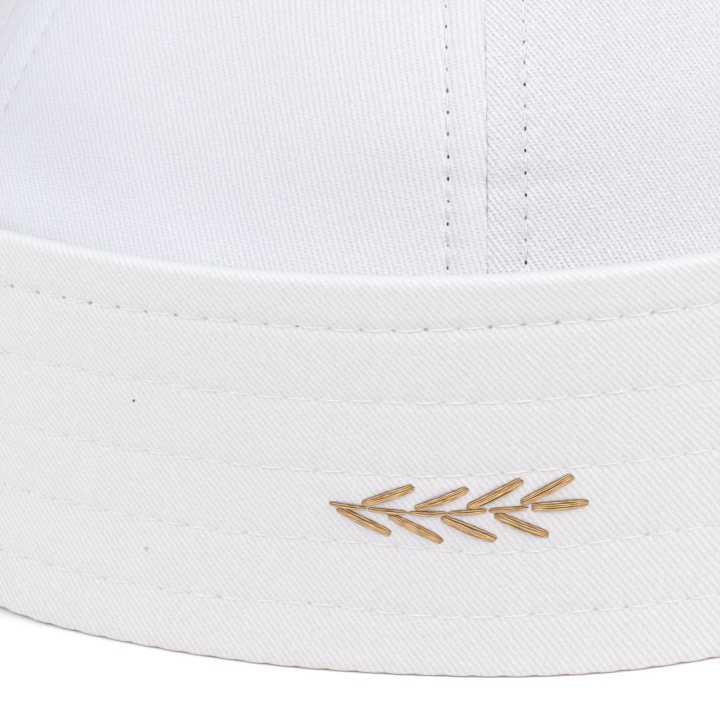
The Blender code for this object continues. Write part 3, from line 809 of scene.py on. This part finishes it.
def cotton_twill(name, warp, weft, floats, pitch, hole_reach, colours, contrast, relief, stains=()):
    """Cotton twill, yarn woven in diagonals, bleached and pressed. The eye gets a matt white with fine slanting ribs.

    The face is a sum of waves over the flat cloth. One wave crosses the ribs of warp floats, one crosses the weft,
    and their sums and differences turn the valleys into rows of dots. Floats gives for each wave how many times it
    counts the ribs and the weft threads, and its strength. The colours are those of the valleys, partly painted shade,
    the crests, the flat tone, which is painted light, the needle holes' painted shade and the painted shade of the
    seams, the foot and the crown's top.
    """
    material, tree, shader = blank(name)
    valley_shade, crest, flat_lit_tone, hole_shade, shade_tone = (linear(colour) for colour in colours)
    cloth = add(tree, "UVMap", uv_map="cloth")
    place = add(tree, "TexCoord").node.outputs["Object"]
    for size, sway in YARN_SWAYS:
        noise = add(tree, "TexNoise", {"Vector": place, "Scale": 1 / size, "Detail": 1.0}).node.outputs["Color"]
        cloth = add(tree, "VectorMath", {0: noise, 1: (sway, sway, 0), 2: cloth}, operation="MULTIPLY_ADD")
    slub = add(tree, "TexNoise", {"Vector": place, "Scale": 1 / SLUB_SIZE, "Detail": 1.0})
    fibre = add(tree, "TexNoise", {"Vector": place, "Scale": 1 / FIBRE_SIZE, "Detail": 1.0})
    face = add(tree, "Math", {0: fibre, 1: FIBRE_STRENGTH, 2: -FIBRE_STRENGTH / 2}, operation="MULTIPLY_ADD")
    face = add(tree, "Math", {0: slub, 1: SLUB_STRENGTH, 2: face}, operation="MULTIPLY_ADD")
    for ribs, wefts, strength in floats:
        way = (FULL_TURN * (ribs / (3 * warp)), FULL_TURN * ((ribs / 3 + wefts) / weft), 0)
        along = add(tree, "VectorMath", {0: cloth, 1: way}, operation="DOT_PRODUCT")
        wave = add(tree, "Math", {0: along}, operation="COSINE")
        face = add(tree, "Math", {0: wave, 1: -strength, 2: face}, operation="MULTIPLY_ADD")
    # Darker valleys: partly the weave's own pattern, partly painted shade
    shade = add(tree, "MapRange", {"Value": face, "From Min": FACE_MIDDLE - 1 / contrast,
                                   "From Max": FACE_MIDDLE + 1 / contrast})
    colour = add(tree, "Mix", {"Factor": shade, "A": valley_shade, "B": crest}, data_type="RGBA")

    wear_and_shade = wear_and_shade_of(tree)
    stitches = add(tree, "SeparateXYZ", {0: add(tree, "UVMap", uv_map="stitches")}).node.outputs
    along = add(tree, "Math", {0: stitches[0], 1: 0.5}, operation="PINGPONG")
    reach = add(tree, "CombineXYZ", {
        0: add(tree, "Math", {0: along, 1: pitch / hole_reach[0]}, operation="MULTIPLY"),
        1: add(tree, "Math", {0: stitches[1], 1: 1 / hole_reach[1]}, operation="MULTIPLY")})
    from_hole = add(tree, "VectorMath", {0: reach}, operation="LENGTH")
    ragged = add(tree, "Math", {0: slub, 1: HOLE_RAGGEDNESS, 2: from_hole}, operation="MULTIPLY_ADD")
    pierced = add(tree, "MapRange", {"Value": ragged, "From Min": HOLE_INNER, "From Max": HOLE_OUTER,
                                     "To Min": 1.0, "To Max": 0.0}, interpolation_type="SMOOTHSTEP")
    pierced = add(tree, "Math", {0: pierced, 1: wear_and_shade[1]}, operation="MULTIPLY")
    # Painted light: the flat tone is lighter, and the needle holes and the last share of wear and shade are painted
    # shade
    marks = [(wear_and_shade[0], flat_lit_tone), (pierced, hole_shade), (wear_and_shade[2], shade_tone)]
    for spot, size, tone in stains:
        apart = add(tree, "VectorMath", {0: place, 1: spot}, operation="DISTANCE")
        ragged = add(tree, "Math", {0: fibre, 1: size, 2: apart}, operation="MULTIPLY_ADD")
        stain = add(tree, "MapRange", {"Value": ragged, "From Min": STAIN_INNER * size, "From Max": STAIN_OUTER * size,
                                       "To Min": 1.0, "To Max": 0.0})
        marks.append((stain, linear(tone)))
    for share, tone in marks:
        colour = add(tree, "Mix", {"Factor": share, "A": colour, "B": tone}, data_type="RGBA")

    tree.links.new(colour, shader.inputs["Base Color"])
    sunk = add(tree, "Math", {0: pierced, 1: -HOLE_DEPTH, 2: face}, operation="MULTIPLY_ADD")
    relief_kept = add(tree, "Math", {0: wear_and_shade[0], 1: -FLAT_RELIEF_LOSS, 2: 1.0}, operation="MULTIPLY_ADD")
    bump = add(tree, "Bump", {"Height": sunk, "Strength": relief_kept, "Distance": relief})
    tree.links.new(bump, shader.inputs["Normal"])
    shader.inputs["Roughness"].default_value = 0.9
    shader.inputs["Sheen Weight"].default_value = 0.08
    shader.inputs["Sheen Roughness"].default_value = 0.5
    shader.inputs["Specular IOR Level"].default_value = 0.3
    return material


PLIES = 2
PLY_FUZZ_SIZE, PLY_FUZZ = 0.5 * MM, 3.0  # loose fibre turns the plies by up to so many radians
PLY_SHADE, PLY_RELIEF = 0.10, 0.03 * MM
STREAK_LENGTH, STREAKS_ROUND, STREAK_STRENGTH = 1.3 * MM, 9.0, 2.2  # fibres drawn out along the thread
THREAD_HIGHLIGHT, THREAD_HIGHLIGHT_STRENGTH = (0.68, 0.98), 0.9  # sines of the angle round the thread where its painted highlight on top begins, and its strength
THREAD_SHADES = (-0.05, 0.5, 1.1)  # where the groove's painted shade, the flank and the crest's painted highlight have their full colour


def twisted_thread(name, colours, twist=0.6 * MM, roughness=0.6, sheen=0.1):
    """Cotton thread, spun and plied. The eye gets long streaks, faint slanting plies and dark ends.

    The colours are the grooves' and sides' painted shade, the flanks, the crest's painted highlight on top and the
    ends' painted shade where they dip into the needle holes. Twist is the length in which the plies turn once.
    """
    material, tree, shader = blank(name)
    groove_shade, flank, crest, end = (linear(colour) for colour in colours)
    thread = add(tree, "UVMap", uv_map="thread")
    place = add(tree, "TexCoord").node.outputs["Object"]
    way = (FULL_TURN / twist, PLIES * FULL_TURN, 0)
    along = add(tree, "VectorMath", {0: thread, 1: way}, operation="DOT_PRODUCT")
    round_it = add(tree, "VectorMath", {0: thread, 1: (0, FULL_TURN, 0)}, operation="DOT_PRODUCT")
    height = add(tree, "Math", {0: round_it}, operation="SINE")
    fuzz = add(tree, "TexNoise", {"Vector": place, "Scale": 1 / PLY_FUZZ_SIZE})
    drawn = add(tree, "VectorMath", {0: thread, 1: (1 / STREAK_LENGTH, STREAKS_ROUND, 0)}, operation="MULTIPLY")
    streak = add(tree, "TexNoise", {"Vector": drawn, "Scale": 1.0})
    strayed = add(tree, "Math", {0: fuzz, 1: PLY_FUZZ, 2: along}, operation="MULTIPLY_ADD")
    plies = add(tree, "Math", {0: strayed}, operation="SINE")
    highlight = add(tree, "MapRange", {"Value": height, "From Min": THREAD_HIGHLIGHT[0], "From Max": THREAD_HIGHLIGHT[1]})
    tone = add(tree, "Math", {0: streak, 1: STREAK_STRENGTH, 2: -STREAK_STRENGTH / 2}, operation="MULTIPLY_ADD")
    for part, strength in ((highlight, THREAD_HIGHLIGHT_STRENGTH), (plies, PLY_SHADE)):
        tone = add(tree, "Math", {0: part, 1: strength, 2: tone}, operation="MULTIPLY_ADD")
    colour = groove_shade
    for low, high, lighter in zip(THREAD_SHADES, THREAD_SHADES[1:], (flank, crest)):
        rising = add(tree, "MapRange", {"Value": tone, "From Min": low, "From Max": high})
        colour = add(tree, "Mix", {"Factor": rising, "A": colour, "B": lighter}, data_type="RGBA")
    colour = add(tree, "Mix", {"Factor": wear_and_shade_of(tree)[2], "A": colour, "B": end}, data_type="RGBA")
    tree.links.new(colour, shader.inputs["Base Color"])
    bump = add(tree, "Bump", {"Height": plies, "Strength": 0.6, "Distance": PLY_RELIEF})
    tree.links.new(bump, shader.inputs["Normal"])
    shader.inputs["Roughness"].default_value = roughness
    shader.inputs["Sheen Weight"].default_value = sheen
    return material


PAPER_GRAIN = 4 * MM
PAPER_GLOW = 0.05


def floor_paper(name):
    """Background paper, uncoated. The eye gets an even white; a faint glow keeps it white up to the cap's foot."""
    material, tree, shader = blank(name)
    place = add(tree, "TexCoord").node.outputs["Object"]
    grain = add(tree, "TexNoise", {"Vector": place, "Scale": 1 / PAPER_GRAIN})
    colour = add(tree, "Mix", {"Factor": grain, "A": linear("#F6F6F6"), "B": linear("#FAFAFA")}, data_type="RGBA")
    tree.links.new(colour, shader.inputs["Base Color"])
    shader.inputs["Roughness"].default_value = 0.9
    shader.inputs["Specular IOR Level"].default_value = 0.1
    shader.inputs["Emission Color"].default_value = (1, 1, 1, 1)
    shader.inputs["Emission Strength"].default_value = PAPER_GLOW
    return material


# Studio

CAMERA_ELEVATION = math.radians(25.34)
CAMERA_DISTANCE = 0.450
CAMERA_ROLL = math.radians(-1.6)
CAMERA_AIM = (-0.0165, -0.0970, 0.0438)
FOCAL_PIXELS = 3814
PICTURE_PIXELS = 720
SENSOR_WIDTH = 36.0

FLOOR_SIZE = 3.0
FLOOR_LEVEL = -0.05 * MM
ROOM_COLOUR, ROOM_STRENGTH = "#F7F7F8", 0.465
LAMP_DISTANCE, LAMP_SIZE, LAMP_ELEVATION = 0.9, 0.5, 39.0
LAMP_AIM_HEIGHT = 0.04
LAMPS = (
    # name, azimuth in degrees from the front, power, colour
    ("right_lamp", 56.0, 4.0, "#FFFDFB"),
    ("left_lamp", -60.0, 3.5, "#F9FBFF"),
)


def photograph_camera():
    """A camera that looks at the front from a little above, rolled slightly."""
    ahead = np.array((0.0, math.cos(CAMERA_ELEVATION), -math.sin(CAMERA_ELEVATION)))
    right, up = np.array((1.0, 0.0, 0.0)), np.array((0.0, math.sin(CAMERA_ELEVATION), math.cos(CAMERA_ELEVATION)))
    cosine, sine = math.cos(CAMERA_ROLL), math.sin(CAMERA_ROLL)
    matrix = np.eye(4)
    matrix[:3, :3] = np.stack([cosine * right + sine * up, -sine * right + cosine * up, -ahead], 1)
    matrix[:3, 3] = np.array(CAMERA_AIM) - CAMERA_DISTANCE * ahead
    data = bpy.data.cameras.new("photograph")
    data.sensor_width = SENSOR_WIDTH
    data.lens = FOCAL_PIXELS / PICTURE_PIXELS * SENSOR_WIDTH
    data.clip_start, data.clip_end = 0.01, 10.0
    camera = placed("photograph", data)
    camera.matrix_world = matrix.T.tolist()
    bpy.context.scene.camera = camera


def soft_lamp(name, azimuth, power, colour):
    """A square lamp that faces the cap from an azimuth in degrees."""
    data = bpy.data.lights.new(name, "AREA")
    data.shape, data.size, data.energy, data.color = "SQUARE", LAMP_SIZE, power, linear(colour)[:3]
    lamp = placed(name, data)
    turn, rise = math.radians(azimuth), math.radians(LAMP_ELEVATION)
    lamp.location = (LAMP_DISTANCE * math.cos(rise) * math.sin(turn), -LAMP_DISTANCE * math.cos(rise) * math.cos(turn),
                     LAMP_DISTANCE * math.sin(rise) + LAMP_AIM_HEIGHT)
    lamp.rotation_euler = (math.pi / 2 - rise, 0, turn)


def studio():
    """White paper under the cap, an even white room and two soft lamps."""
    half = FLOOR_SIZE / 2
    mesh = bpy.data.meshes.new("floor")
    mesh.from_pydata([(x * half, y * half, FLOOR_LEVEL) for x, y in ((-1, -1), (1, -1), (1, 1), (-1, 1))], [],
                     [(0, 1, 2, 3)])
    mesh.materials.append(floor_paper("white_paper"))
    placed("floor", mesh)
    world = bpy.data.worlds.new("white_room")
    world.use_nodes = True
    background = world.node_tree.nodes["Background"]
    background.inputs["Color"].default_value = linear(ROOM_COLOUR)
    background.inputs["Strength"].default_value = ROOM_STRENGTH
    bpy.context.scene.world = world
    for lamp in LAMPS:
        soft_lamp(*lamp)
    bpy.context.scene.view_settings.view_transform = "Standard"


# The crown's cloth is cooler and more open than the cuff's, which is stiffened and pressed flat
# Weave colours: valleys partly in painted shade, crests, a flat tone painted lighter, needle holes in painted shade,
# and painted shade
crown_weave = cotton_twill("cotton_twill_crown", CROWN_WARP, CROWN_WEFT, CROWN_FLOATS, TOPSTITCH_PITCH,
                           (0.31 * MM, 0.165 * MM), ("#DEE0E6", "#FEFFFF", "#F2F3F9", "#1E1E22", "#8C8C94"),
                           0.53, 0.030 * MM)
stains = [(tuple(cuff_face(math.radians(degrees), level).tolist()), size, colour)
          for degrees, level, size, colour in CUFF_STAINS]
cuff_weave = cotton_twill("cotton_twill_cuff", CUFF_WARP, CUFF_WEFT, CUFF_FLOATS, CUFF_STITCH_LENGTH,
                          (0.32 * MM, 0.24 * MM), ("#DBD9DB", "#F4F3F4", "#EFF0F5", "#A8958C", "#D2BCAA"),
                          0.38, 0.016 * MM, stains)
# Sewing thread, singed and polished with starch, is smooth and barely fuzzy
# Thread colours: grooves in painted shade, flanks, crest in painted highlight, ends in painted shade
cuff_thread = twisted_thread("polished_cotton_thread_cuff", ("#E9E9E7", "#F3F3F0", "#FBFBF8", "#D6D6D3"))
crown_thread = twisted_thread("polished_cotton_thread_crown", ("#E8E9EC", "#F3F4F6", "#FCFDFE", "#D8D8DB"))
# Embroidery floss, swollen in lye and stretched, has a soft lustre
gold_thread = twisted_thread("mercerised_cotton_floss", ("#54300F", "#C48D44", "#FBDCA6", "#3C2410"), 2.6 * MM, 0.45,
                             0.25)

cuff_cloth(cuff_weave)
for number in range(1, GORES + 1):
    gore_cloth(number, crown_weave)
cuff_threads(cuff_thread)
crown_threads(crown_thread)
embroidered_sprig(gold_thread)
photograph_camera()
studio()
